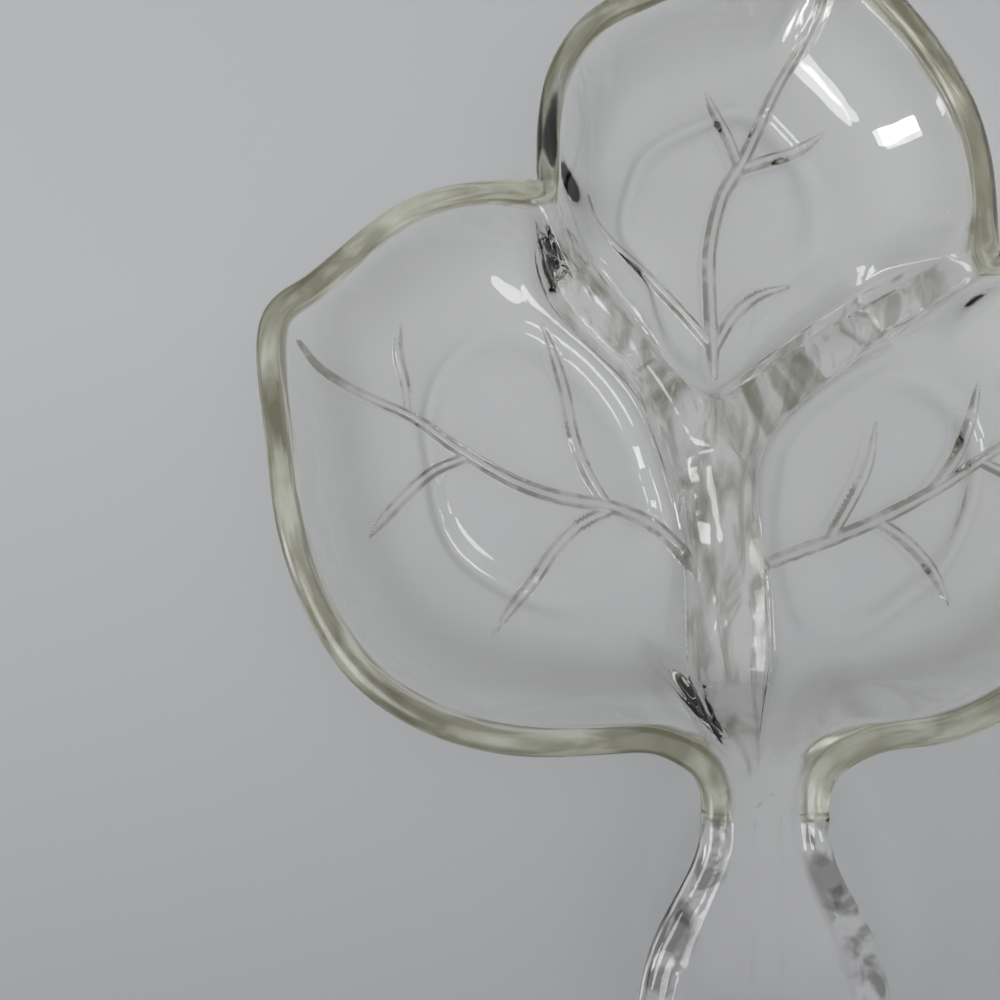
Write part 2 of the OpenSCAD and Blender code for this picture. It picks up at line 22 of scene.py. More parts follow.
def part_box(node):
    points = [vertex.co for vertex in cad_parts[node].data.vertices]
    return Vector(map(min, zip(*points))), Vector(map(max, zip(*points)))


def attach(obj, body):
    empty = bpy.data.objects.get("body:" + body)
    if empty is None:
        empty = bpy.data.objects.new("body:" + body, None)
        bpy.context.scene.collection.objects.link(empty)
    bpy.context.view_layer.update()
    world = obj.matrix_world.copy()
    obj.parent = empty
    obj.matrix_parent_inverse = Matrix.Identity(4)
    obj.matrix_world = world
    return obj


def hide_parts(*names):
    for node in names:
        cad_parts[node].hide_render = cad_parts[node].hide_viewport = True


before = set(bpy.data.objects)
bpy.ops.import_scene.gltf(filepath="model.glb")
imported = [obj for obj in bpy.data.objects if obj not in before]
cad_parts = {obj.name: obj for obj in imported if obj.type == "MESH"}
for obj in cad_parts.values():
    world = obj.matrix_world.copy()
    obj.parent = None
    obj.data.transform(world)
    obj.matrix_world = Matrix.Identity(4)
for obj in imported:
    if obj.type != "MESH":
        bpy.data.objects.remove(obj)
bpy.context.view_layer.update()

log = logging.getLogger("relish_tray")

MM = 0.001

# Sockets of a Mix node that mixes colours
MIX_UNDER, MIX_OVER, MIX_RESULT = 6, 7, 2


class Well(Enum):
    """The three wells of the tray."""

    LEFT = "left"
    TOP = "top"
    RIGHT = "right"

    @property
    def floor(self) -> str:
        """Name of the well's floor in the frame."""
        return f"{self.value}_floor"

    @property
    def wall(self) -> str:
        """Name of the well's wall in the frame."""
        return f"{self.value}_wall"

    @property
    def foot(self) -> str:
        """Name of the foot ring under the well."""
        return f"{self.value}_foot"

    @property
    def relief(self) -> list[str]:
        """Names of the veins raised in the well."""
        return [f"{self.value}_midrib", f"{self.value}_side_veins"]


class Zone(Enum):
    """The zones of the tray that carry their own streaks of painted shade and reflection."""

    # The veins' steep flanks, where shade is painted.
    VEIN = "vein"
    RIDGE = "ridge"
    BEAD = "bead"
    RIM = "rim"


HUB = "divider_hub"
ZONE_NODES = {
    Zone.RIDGE: ["left_divider", "centre_divider", "right_divider", HUB],
    Zone.BEAD: ["stem_rim_left", "stem_rim_right"],
    Zone.RIM: ["left_rim", "top_rim", "right_rim"],
}
FLOORS = [well.floor for well in Well]
FEET = [well.foot for well in Well]
RELIEF = [name for well in Well for name in well.relief] + ["stem_rib"]
SHELL = [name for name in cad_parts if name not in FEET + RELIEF]


@dataclass(frozen=True)
class ShadeAndTintStreaks:
    """Painted shade and reflections in streaks of two colours; on the rim they also give the thick
    glass's olive.

    Attributes:
        scale: how often they change along each axis: the lowest number draws them out.
        twist: how much they wind.
        low: value of the noise at which the dark colour ends.
        high: value at which the light colour is full.
        dark: the dark colour.
        light: the light colour.
    """

    scale: tuple[float, float, float]
    twist: float
    low: float
    high: float
    dark: tuple[float, float, float, float]
    light: tuple[float, float, float, float]


@dataclass(frozen=True)
class ClearGlass:
    """Finish of the tray: clear pressed glass, olive where the thick rim is looked through.

    Shade and reflections are painted into its colour in streaks on the rim, the dividers,
    the stem's edges and the veins' flanks.

    Attributes:
        ior: index of refraction.
        clear: colour of the clear glass.
        tint: colour that a long way through the glass takes on.
        density: how soon it takes it on.
        passing: share of a lamp's light that reaches the table through the glass.
        rim: olive of the thick glass and painted shade, in streaks along the rim.
        bead: painted reflection on the stem's edges, in dark grey and white patches.
        ridge: painted shade on the dividers, in dark wavy streaks.
        vein: painted shade on the veins' flanks, stronger where they are steeper.
        streak_detail: fineness of all streaks.
        zone_low: value of a zone's attribute at which its streaks begin.
        zone_high: value at which they are full.
        ripple_scale: number of ripples to a metre.
        ripple_detail: fineness of the ripples.
        ripple_height: height of the ripples.
        ridge_ripple: how much higher they are on the dividers.
        bead_ripple: how much higher they are on the stem's edges.
        haze_scale: number of hazy patches to a metre.
        haze_detail: fineness of the patches.
        haze_low: value of the noise at which a patch begins.
        haze_high: value at which it is full.
        haze_roughness: roughness of a full patch.
        rim_roughness: further roughness of the rim.
        ridge_roughness: further roughness of the dividers.
    """

    ior: float = 1.46
    clear: tuple[float, float, float, float] = (1.0, 1.0, 1.0, 1.0)
    tint: tuple[float, float, float, float] = (0.90, 0.90, 0.84, 1.0)
    density: float = 4.0
    passing: tuple[float, float, float, float] = (0.62, 0.62, 0.61, 1.0)
    # Olive of the thick glass, with painted shade in dark streaks along the rim.
    rim: ShadeAndTintStreaks = ShadeAndTintStreaks(
        scale=(42.0, 42.0, 1100.0),
        twist=0.3,
        low=0.42,
        high=0.60,
        dark=(0.30, 0.29, 0.19, 1.0),
        light=(1.0, 1.0, 0.84, 1.0),
    )
    # Painted reflection on the stem's edges: dark grey patches beside clear ones.
    bead: ShadeAndTintStreaks = ShadeAndTintStreaks(
        scale=(70.0, 70.0, 500.0),
        twist=0.6,
        low=0.42,
        high=0.52,
        dark=(0.22, 0.22, 0.21, 1.0),
        light=(1.0, 1.0, 1.0, 1.0),
    )
    # Painted shade on the dividers: dark olive-grey wavy streaks.
    ridge: ShadeAndTintStreaks = ShadeAndTintStreaks(
        scale=(170.0, 45.0, 110.0),
        twist=0.9,
        low=0.36,
        high=0.52,
        dark=(0.48, 0.48, 0.41, 1.0),
        light=(1.0, 1.0, 1.0, 1.0),
    )
    # Painted shade on the veins' flanks, darker where they are steeper.
    vein: ShadeAndTintStreaks = ShadeAndTintStreaks(
        scale=(130.0, 130.0, 130.0),
        twist=0.5,
        low=0.40,
        high=0.60,
        dark=(0.28, 0.285, 0.23, 1.0),
        light=(0.80, 0.80, 0.76, 1.0),
    )
    streak_detail: float = 3.0
    zone_low: float = 0.3
    zone_high: float = 0.9
    ripple_scale: float = 55.0
    ripple_detail: float = 2.0
    ripple_height: float = 0.25 * MM
    ridge_ripple: float = 4.0
    bead_ripple: float = 4.0
    haze_scale: float = 400.0
    haze_detail: float = 4.0
    haze_low: float = 0.45
    haze_high: float = 0.75
    haze_roughness: float = 0.015
    rim_roughness: float = 0.20
    ridge_roughness: float = 0.06

    def material(self) -> bpy.types.Material:
        """Builds the glass material.

        Returns:
            The material, ready to be put on the tray.
        """
        mat = bpy.data.materials.new("pressed_glass")
        mat.use_nodes = True
        nodes, links = mat.node_tree.nodes, mat.node_tree.links
        glass = nodes["Principled BSDF"]
        glass.inputs["IOR"].default_value = self.ior
        glass.inputs["Transmission Weight"].default_value = 1.0
        glass.inputs["Metallic"].default_value = 0.0
        place = nodes.new("ShaderNodeTexCoord")
        zones = {zone: self.zone(nodes, links, zone) for zone in Zone}
        colour = nodes.new("ShaderNodeRGB").outputs["Color"]
        colour.default_value = self.clear
        # Painted shade and reflections: each zone's streaks darken the clear glass there.
        for zone in Zone:
            colour = self.blend(nodes, links, place, zones[zone], colour, getattr(self, zone.value))
        links.new(colour, glass.inputs["Base Color"])
        self.ripples(nodes, links, place, zones)
        self.haze(nodes, links, place, zones)
        depth = nodes.new("ShaderNodeVolumeAbsorption")
        depth.inputs["Color"].default_value = self.tint
        depth.inputs["Density"].default_value = self.density
        links.new(depth.outputs["Volume"], nodes["Material Output"].inputs["Volume"])
        self.let_light_through(nodes, links)
        return mat

    def zone(
        self, nodes: bpy.types.Nodes, links: bpy.types.NodeLinks, zone: Zone
    ) -> bpy.types.NodeSocket:
        """Reads how far a point belongs to a zone, from the tray's own attribute.

        Args:
            nodes: the material's nodes.
            links: the material's links.
            zone: the zone.

        Returns:
            A value from 0 outside to 1 inside.
        """
        mark = nodes.new("ShaderNodeAttribute")
        mark.attribute_name = zone.value
        soft = nodes.new("ShaderNodeMapRange")
        soft.interpolation_type = "SMOOTHSTEP"
        soft.inputs["From Min"].default_value = self.zone_low
        soft.inputs["From Max"].default_value = self.zone_high
        links.new(mark.outputs["Fac"], soft.inputs["Value"])
        return soft.outputs["Result"]

    def blend(
        self,
        nodes: bpy.types.Nodes,
        links: bpy.types.NodeLinks,
        place: bpy.types.ShaderNode,
        share: bpy.types.NodeSocket,
        under: bpy.types.NodeSocket,
        streaks: ShadeAndTintStreaks,
    ) -> bpy.types.NodeSocket:
        """Lays one zone's streaks of painted shade and reflection over a colour.

        Args:
            nodes: the material's nodes.
            links: the material's links.
            place: the node that gives the place on the tray.
            share: how far a point belongs to the zone.
            under: the colour outside the zone.
            streaks: the zone's streaks.

        Returns:
            The blended colour.
        """
        stretch = nodes.new("ShaderNodeMapping")
        stretch.inputs["Scale"].default_value = streaks.scale
        links.new(place.outputs["Object"], stretch.inputs["Vector"])
        noise = nodes.new("ShaderNodeTexNoise")
        noise.inputs["Scale"].default_value = 1.0
        noise.inputs["Detail"].default_value = self.streak_detail
        noise.inputs["Distortion"].default_value = streaks.twist
        links.new(stretch.outputs["Vector"], noise.inputs["Vector"])
        ramp = nodes.new("ShaderNodeValToRGB")
        ramp.color_ramp.elements[0].position = streaks.low
        ramp.color_ramp.elements[0].color = streaks.dark
        ramp.color_ramp.elements[1].position = streaks.high
        ramp.color_ramp.elements[1].color = streaks.light
        links.new(noise.outputs["Fac"], ramp.inputs["Fac"])
        mix = nodes.new("ShaderNodeMix")
        mix.data_type = "RGBA"
        links.new(share, mix.inputs["Factor"])
        links.new(under, mix.inputs[MIX_UNDER])
        links.new(ramp.outputs["Color"], mix.inputs[MIX_OVER])
        return mix.outputs[MIX_RESULT]

    def ripples(
        self,
        nodes: bpy.types.Nodes,
        links: bpy.types.NodeLinks,
        place: bpy.types.ShaderNode,
        zones: dict[Zone, bpy.types.NodeSocket],
    ) -> None:
        """Adds the faint waves of pressed glass, stronger on the dividers and the stem's edges.

        Args:
            nodes: the material's nodes.
            links: the material's links.
            place: the node that gives the place on the tray.
            zones: how far a point belongs to each zone.
        """
        ripple = nodes.new("ShaderNodeTexNoise")
        ripple.inputs["Scale"].default_value = self.ripple_scale
        ripple.inputs["Detail"].default_value = self.ripple_detail
        links.new(place.outputs["Object"], ripple.inputs["Vector"])
        height = ripple.outputs["Fac"]
        for zone, more in ((Zone.RIDGE, self.ridge_ripple), (Zone.BEAD, self.bead_ripple)):
            rise = nodes.new("ShaderNodeMapRange")
            rise.inputs["To Min"].default_value = 1.0
            rise.inputs["To Max"].default_value = more
            links.new(zones[zone], rise.inputs["Value"])
            scaled = nodes.new("ShaderNodeMath")
            scaled.operation = "MULTIPLY"
            links.new(height, scaled.inputs[0])
            links.new(rise.outputs["Result"], scaled.inputs[1])
            height = scaled.outputs["Value"]
        bump = nodes.new("ShaderNodeBump")
        bump.inputs["Strength"].default_value = 1.0
        bump.inputs["Distance"].default_value = self.ripple_height
        links.new(height, bump.inputs["Height"])
        links.new(bump.outputs["Normal"], nodes["Principled BSDF"].inputs["Normal"])

    def haze(
        self,
        nodes: bpy.types.Nodes,
        links: bpy.types.NodeLinks,
        place: bpy.types.ShaderNode,
        zones: dict[Zone, bpy.types.NodeSocket],
    ) -> None:
        """Sets the roughness: a faint haze in patches, with more on the rim and the dividers.

        Args:
            nodes: the material's nodes.
            links: the material's links.
            place: the node that gives the place on the tray.
            zones: how far a point belongs to each zone.
        """
        patches = nodes.new("ShaderNodeTexNoise")
        patches.inputs["Scale"].default_value = self.haze_scale
        patches.inputs["Detail"].default_value = self.haze_detail
        links.new(place.outputs["Object"], patches.inputs["Vector"])
        spread = nodes.new("ShaderNodeMapRange")
        spread.inputs["From Min"].default_value = self.haze_low
        spread.inputs["From Max"].default_value = self.haze_high
        spread.inputs["To Max"].default_value = self.haze_roughness
        links.new(patches.outputs["Fac"], spread.inputs["Value"])
        rough = spread.outputs["Result"]
        for zone, more in ((Zone.RIM, self.rim_roughness), (Zone.RIDGE, self.ridge_roughness)):
            added = nodes.new("ShaderNodeMath")
            added.operation = "MULTIPLY_ADD"
            links.new(zones[zone], added.inputs[0])
            added.inputs[1].default_value = more
            links.new(rough, added.inputs[2])
            rough = added.outputs["Value"]
        links.new(rough, nodes["Principled BSDF"].inputs["Roughness"])

    def let_light_through(self, nodes: bpy.types.Nodes, links: bpy.types.NodeLinks) -> None:
        """Lets a share of the lamps' light straight through to the table under the glass.

        Args:
            nodes: the material's nodes.
            links: the material's links.
        """
        path = nodes.new("ShaderNodeLightPath")
        open_side = nodes.new("ShaderNodeBsdfTransparent")
        open_side.inputs["Color"].default_value = self.passing
        either = nodes.new("ShaderNodeMixShader")
        links.new(path.outputs["Is Shadow Ray"], either.inputs[0])
        links.new(nodes["Principled BSDF"].outputs["BSDF"], either.inputs[1])
        links.new(open_side.outputs["BSDF"], either.inputs[2])
        links.new(either.outputs["Shader"], nodes["Material Output"].inputs["Surface"])


@dataclass
class GlassBody:
    """The tray as one closed body of glass, made from the frame's regions.

    Attributes:
        weld: points nearer to each other than this become one.
        touch: how near two regions' faces lie where the regions meet.
        opposite: cosine under which two faces look opposite ways.
        level: how far a height may be off and still count as the same.
        hub_sides: most sides of a gap that is closed at the hub.
        quad_bend: largest bend between two triangles that become one face.
        quad_skew: how far such a face may be from a rectangle.
        upward: least height of a normal on the upper side.
        floor_rings: sizes of the rings that a floor is drawn with, as shares of its edge.
        foot_share: outer edge of a foot ring, as a share of the floor's edge.
        foot_wall: width of a foot ring.
        ring_gap: least step between the foot ring and the next ring inside it.
        foot_profile: section of a foot ring: places across, and heights as shares of its depth.
        vein_reaches: how far round the veins the mesh is made finer, step by step.
        vein_near: how far a point may be from the veins and still be raised.
        probe_above: height from which the relief over a point is measured.
        probe_length: how far down it is looked for.
        blur: distance over which the relief's edges are rounded.
        steepest: slope of the relief that counts as full.
        zone_reach: how far a zone's streaks reach past its pieces.
        soft_from: height over the table from which the underside is rounded.
        soft_reach: how far from the dividers it is rounded.
        seam_reach: how far from a divider and a wall their seam is rounded.
        notch_reach: how far from two rims their corner is rounded.
        soft_passes: how often the rounding is repeated.
        soft_step: strength of each pass.
        cage: the mesh while it is drawn.
        middles: middle of each well's rings.
        edges: points along the edge of each floor.
    """

    weld: float = 0.02 * MM
    touch: float = 0.30 * MM
    opposite: float = -0.7
    level: float = 0.02 * MM
    hub_sides: int = 6
    quad_bend: float = math.radians(60.0)
    quad_skew: float = math.radians(120.0)
    upward: float = 0.1
    floor_rings: tuple[float, ...] = (0.93, 0.84, 0.73, 0.61, 0.49, 0.37, 0.25, 0.13)
    foot_share: float = 0.92
    foot_wall: float = 5.0 * MM
    ring_gap: float = 0.03
    foot_profile: tuple[tuple[float, float], ...] = (
        (4.9 * MM, 1.0),
        (3.8 * MM, 0.88),
        (2.7 * MM, 0.58),
        (1.6 * MM, 0.22),
        (0.6 * MM, 0.0),
        (-0.6 * MM, 0.0),
        (-2.0 * MM, 0.15),
        (-3.6 * MM, 0.45),
        (-5.4 * MM, 0.80),
        (-7.4 * MM, 1.0),
    )
    vein_reaches: tuple[float, ...] = (3.4 * MM, 2.3 * MM)
    vein_near: float = 3.0 * MM
    probe_above: float = 8.0 * MM
    probe_length: float = 9.0 * MM
    blur: float = 0.2 * MM
    steepest: float = 1.2
    zone_reach: float = 2.0 * MM
    soft_from: float = 2.2 * MM
    soft_reach: float = 6.5 * MM
    seam_reach: float = 2.0 * MM
    notch_reach: float = 1.2 * MM
    soft_passes: int = 16
    soft_step: float = 0.5
    cage: bmesh.types.BMesh | None = None
    middles: dict[Well, Vector] = field(default_factory=dict)
    edges: dict[Well, list[Vector]] = field(default_factory=dict)

    def build(self) -> bpy.types.Object:
        """Builds the tray's mesh.

        Returns:
            The tray as one object, smooth shaded.
        """
        self.gather()
        self.drop_shared_faces()
        log.info("shell: %d open edges", sum(edge.is_boundary for edge in self.cage.edges))
        for well in Well:
            self.middles[well] = self.middle_of_rings(well)
            rim = self.rim_of(self.middles[well].z, well)
            self.edges[well] = [vert.co.copy() for edge in rim for vert in edge.verts]
            self.redraw_floor(well)
            self.redraw_underside(well)
        bmesh.ops.join_triangles(
            self.cage,
            faces=self.cage.faces[:],
            angle_face_threshold=self.quad_bend,
            angle_shape_threshold=self.quad_skew,
        )
        tray = self.smoothed()
        self.soften(tray)
        self.raise_relief(tray)
        for face in tray.data.polygons:
            face.use_smooth = True
        return tray

    def gather(self) -> None:
        """Joins copies of the shell's solids into one mesh and marks each face by its region."""
        self.cage = bmesh.new()
        region = self.cage.faces.layers.int.new("region")
        for index, name in enumerate(SHELL):
            first = len(self.cage.faces)
            self.cage.from_mesh(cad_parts[name].data)
            self.cage.faces.ensure_lookup_table()
            for face in self.cage.faces[first:]:
                face[region] = index
        bmesh.ops.remove_doubles(self.cage, verts=self.cage.verts[:], dist=self.weld)

    def drop_shared_faces(self) -> None:
        """Deletes the faces where two regions meet, and the floors' open faces."""
        region = self.cage.faces.layers.int["region"]
        trees = [tree_of([name]) for name in SHELL]
        owners = {v: {face[region] for face in v.link_faces} for v in self.cage.verts}
        floors = {SHELL.index(name) for name in FLOORS}
        gone = []
        for face in self.cage.faces:
            own = face[region]
            others = [owners[v] - {own} for v in face.verts]
            if own in floors or set.intersection(*others) & floors:
                gone.append(face)
            elif all(others) and any(self.faces_back(face, trees[k]) for k in set.union(*others)):
                gone.append(face)
        bmesh.ops.delete(self.cage, geom=gone, context="FACES")
        self.drop_folded_faces()
        loose = [v for v in self.cage.verts if not v.link_faces]
        bmesh.ops.delete(self.cage, geom=loose, context="VERTS")

    def faces_back(self, face: bmesh.types.BMFace, other: BVHTree) -> bool:
        """Whether a face lies against a face of another region that looks the opposite way.

        Args:
            face: the face.
            other: the other region's faces.

        Returns:
            True where the two regions meet.
        """
        place, normal = other.find_nearest(face.calc_center_median(), self.touch)[:2]
        return place is not None and normal.dot(face.normal) < self.opposite

    def drop_folded_faces(self) -> None:
        """Deletes faces without an area that the shared faces left hanging, and mends the hub."""
        while True:
            hanging = [
                face
                for face in self.cage.faces
                if face.calc_area() < self.level**2
                and any(len(edge.link_faces) != 2 for edge in face.edges)
            ]
            if not hanging:
                break
            bmesh.ops.delete(self.cage, geom=hanging, context="FACES")
        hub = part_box(HUB)
        small = [
            edge
            for edge in self.cage.edges
            if edge.is_boundary and all(near_box(v.co, hub, self.level) for v in edge.verts)
        ]
        bmesh.ops.holes_fill(self.cage, edges=small, sides=self.hub_sides)

    def rim_of(self, height: float, well: Well) -> list[bmesh.types.BMEdge]:
        """Finds the open edges that a floor left at one height.

        Args:
            height: height of the edges.
            well: the well whose floor they bound.

        Returns:
            The edges of one closed loop, in the mesh's own order.
        """
        left = {
            edge
            for edge in self.cage.edges
            if edge.is_boundary and all(abs(v.co.z - height) < self.level for v in edge.verts)
        }
        loops = []
        while left:
            loop, fresh = set(), [left.pop()]
            while fresh:
                edge = fresh.pop()
                loop.add(edge)
                near = {other for v in edge.verts for other in v.link_edges} & left
                left -= near
                fresh.extend(near)
            loops.append(loop)
        target = middle_of(*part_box(well.floor))
        nearest = min(loops, key=lambda loop: (middle_of(*bounds_of(loop)) - target).length)
        return [edge for edge in self.cage.edges if edge in nearest]

    def ring(
        self, edges: list[bmesh.types.BMEdge], middle: Vector, scale: float, height: float
    ) -> list[bmesh.types.BMEdge]:
        """Extrudes a closed loop of edges into the next ring.

        Args:
            edges: the loop to start from.
            middle: point that the ring shrinks towards.
            scale: size of the new ring as a share of the old one.
            height: height of the new ring.

        Returns:
            The edges of the new ring.
        """
        made = bmesh.ops.extrude_edge_only(self.cage, edges=edges)["geom"]
        verts = [item for item in made if isinstance(item, bmesh.types.BMVert)]
        here = Matrix.Translation(-middle)
        bmesh.ops.scale(self.cage, vec=(scale, scale, 1.0), space=here, verts=verts)
        for vert in verts:
            vert.co.z = height
        kept = set(verts)
        return [
            item
            for item in made
            if isinstance(item, bmesh.types.BMEdge) and set(item.verts) <= kept
        ]

    def close(self, edges: list[bmesh.types.BMEdge]) -> None:
        """Closes the middle of a floor with a fan of faces.

        Args:
            edges: the innermost ring.
        """
        face = bmesh.ops.contextual_create(self.cage, geom=edges)["faces"]
        bmesh.ops.poke(self.cage, faces=face)

    def redraw_floor(self, well: Well) -> None:
        """Draws a well's floor again as rings round its middle.

        Args:
            well: the well.
        """
        edges = self.rim_of(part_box(well.floor)[1].z, well)
        middle = self.middles[well]
        height = middle.z
        scale = 1.0
        for share in self.floor_rings:
            edges = self.ring(edges, middle, share / scale, height)
            scale = share
        self.close(edges)
        log.info("%s drawn", well.floor)

    def redraw_underside(self, well: Well) -> None:
        """Draws the underside of a well's floor again, with its rounded foot ring.

        Args:
            well: the well.
        """
        low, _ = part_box(well.floor)
        foot_low, foot_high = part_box(well.foot)
        middle = self.middles[well]
        half = (foot_high.x - foot_low.x) / 2
        depth = low.z - foot_low.z
        crown = self.foot_share * (1.0 - self.foot_wall / 2 / half)
        steps = [
            (crown + across / half * self.foot_share, foot_low.z + rise * depth)
            for across, rise in self.foot_profile
        ]
        inside = steps[-1][0] - self.ring_gap
        steps += [(s * crown, low.z) for s in self.floor_rings[1::2] if s * crown < inside]
        edges = self.ring(self.rim_of(low.z, well), middle, 1.0, low.z)
        self.follow(edges, self.edges[well], middle, steps[0][0])
        scale = steps[0][0]
        for share, height in steps[1:]:
            edges = self.ring(edges, middle, share / scale, height)
            scale = share
        self.close(edges)
        log.info("%s drawn", well.foot)

    def follow(
        self, edges: list[bmesh.types.BMEdge], outline: list[Vector], middle: Vector, share: float
    ) -> None:
        """Moves a ring's points onto an outline made smaller, each on its own bearing.

        Args:
            edges: the ring.
            outline: the outline's points.
            middle: point that the outline shrinks towards.
            share: size of the ring as a share of the outline.
        """
        for vert in {v for edge in edges for v in edge.verts}:
            ray = (vert.co.xy - middle.xy).normalized()
            guide = max(outline, key=lambda place: ray.dot((place.xy - middle.xy).normalized()))
            vert.co.xy = middle.xy + (guide.xy - middle.xy) * share

    def middle_of_rings(self, well: Well) -> Vector:
        """Finds the point that a floor's edge and its foot ring share as their middle.

        The foot ring is the floor's edge made smaller towards that point.

        Args:
            well: the well.

        Returns:
            The point, at the height of the floor's upper face.
        """
        low, high = bounds_of(self.rim_of(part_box(well.floor)[1].z, well))
        foot_low, foot_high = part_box(well.foot)
        places = []
        for k in range(2):
            share = (foot_high[k] - foot_low[k]) / (high[k] - low[k])
            places.append((foot_low[k] - share * low[k]) / (1.0 - share))
        return Vector((*places, high.z))

    def smoothed(self) -> bpy.types.Object:
        """Turns the cage into a smooth object.

        Returns:
            The smoothed object, its modifier applied.
        """
        bmesh.ops.recalc_face_normals(self.cage, faces=self.cage.faces[:])
        open_edges = sum(not edge.is_manifold for edge in self.cage.edges)
        log.info("cage: %d faces, %d open edges", len(self.cage.faces), open_edges)
        mesh = bpy.data.meshes.new("cage")
        self.cage.to_mesh(mesh)
        self.cage.free()
        cage = bpy.data.objects.new("cage", mesh)
        bpy.context.scene.collection.objects.link(cage)
        smooth = cage.modifiers.new("smooth", "SUBSURF")
        smooth.levels = smooth.render_levels = 1
        graph = bpy.context.evaluated_depsgraph_get()
        finished = bpy.data.meshes.new_from_object(cage.evaluated_get(graph))
        bpy.data.objects.remove(cage)
        tray = bpy.data.objects.new("glass_tray", finished)
        bpy.context.scene.collection.objects.link(tray)
        return tray

    def soften(self, tray: bpy.types.Object) -> None:
        """Rounds the hollows under the dividers, the seams beside them and the rims' notches.

        Args:
            tray: the smooth tray.
        """
        dividers = tree_of(ZONE_NODES[Zone.RIDGE])
        walls = tree_of([well.wall for well in Well])
        rims = [tree_of([name]) for name in ZONE_NODES[Zone.RIM]]
        mesh = bmesh.new()
        mesh.from_mesh(tray.data)
        soft = []
        for vert in mesh.verts:
            if sum(bool(rim.find_nearest(vert.co, self.notch_reach)[0]) for rim in rims) > 1:
                soft.append(vert)
            elif vert.normal.z < self.upward:
                under = vert.co.z > self.soft_from
                if under and dividers.find_nearest(vert.co, self.soft_reach)[0]:
                    soft.append(vert)
            elif all(tree.find_nearest(vert.co, self.seam_reach)[0] for tree in (dividers, walls)):
                soft.append(vert)
        for _ in range(self.soft_passes):
            bmesh.ops.smooth_vert(
                mesh,
                verts=soft,
                factor=self.soft_step,
                use_axis_x=True,
                use_axis_y=True,
                use_axis_z=True,
            )
        mesh.to_mesh(tray.data)
        mesh.free()

    def raise_relief(self, tray: bpy.types.Object) -> None:
        """Raises the veins and the stem's rib out of the tray's upper face.

        Args:
            tray: the smooth tray.
        """
        tree = tree_of(RELIEF)
        mesh = bmesh.new()
        mesh.from_mesh(tray.data)
        # The veins' steepness, kept as the mask of the painted shade on their flanks.
        flank_shade_mask = mesh.verts.layers.float.new(Zone.VEIN.value)
        for reach in self.vein_reaches:
            near = [
                face
                for face in mesh.faces
                if face.normal.z > self.upward
                and tree.find_nearest(face.calc_center_median(), reach)[0]
            ]
            edges = list(dict.fromkeys(edge for face in near for edge in face.edges))
            bmesh.ops.subdivide_edges(mesh, edges=edges, cuts=1, use_grid_fill=True)
        raised = 0
        for vert in mesh.verts:
            if vert.normal.z > self.upward:
                lift, vert[flank_shade_mask] = self.lift_at(tree, vert.co)
                vert.co.z += lift
                raised += lift > 0.0
        self.mark_zones(mesh)
        mesh.to_mesh(tray.data)
        log.info("tray: %d faces, %d points raised", len(mesh.faces), raised)
        mesh.free()

    def mark_zones(self, mesh: bmesh.types.BMesh) -> None:
        """Marks the points near the rim, the dividers and the stem's edges for their streaks of
        painted shade and reflection.

        Args:
            mesh: the tray.
        """
        for zone, names in ZONE_NODES.items():
            layer = mesh.verts.layers.float.new(zone.value)
            tree = tree_of(names)
            for vert in mesh.verts:
                gap = tree.find_nearest(vert.co, self.zone_reach)[3]
                if gap is not None:
                    vert[layer] = 1.0 - gap / self.zone_reach

    def lift_at(self, tree: BVHTree, place: Vector) -> tuple[float, float]:
        """Height of the relief over a point, blurred a little so that its edges are round.

        Args:
            tree: the relief's faces.
            place: the point.

        Returns:
            How far to raise the point, and how steep the relief is there, from 0 to 1.
        """
        if not tree.find_nearest(place, self.vein_near)[0]:
            return 0.0, 0.0
        lifts = []
        steps = (-1.0, 0.0, 1.0)
        for dx in steps:
            for dy in steps:
                start = place + Vector((dx * self.blur, dy * self.blur, self.probe_above))
                hit = tree.ray_cast(start, Vector((0.0, 0.0, -1.0)), self.probe_length)[0]
                lifts.append(max(0.0, hit.z - place.z) if hit else 0.0)
        steepness = (max(lifts) - min(lifts)) / (2.0 * self.blur) / self.steepest
        return sum(lifts) / len(lifts), min(1.0, steepness)


def tree_of(names: list[str]) -> BVHTree:
    """Makes a search tree over some of the frame's solids.

    Args:
        names: the solids' names.

    Returns:
        The tree.
    """
    joined = bmesh.new()
    for name in names:
        joined.from_mesh(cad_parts[name].data)
    tree = BVHTree.FromBMesh(joined)
    joined.free()
    return tree


def near_box(place: Vector, box: tuple[Vector, Vector], margin: float) -> bool:
    """Whether a point lies in a box or within a margin of it."""
    low, high = box
    return all(low[k] - margin <= place[k] <= high[k] + margin for k in range(3))


def middle_of(low: Vector, high: Vector) -> Vector:
    """Middle of a box."""
    return (low + high) / 2


def bounds_of(edges: Iterable[bmesh.types.BMEdge]) -> tuple[Vector, Vector]:
    """Box round some edges."""
    places = [vert.co for edge in edges for vert in edge.verts]
    low = Vector([min(place[k] for place in places) for k in range(3)])
    return low, Vector([max(place[k] for place in places) for k in range(3)])


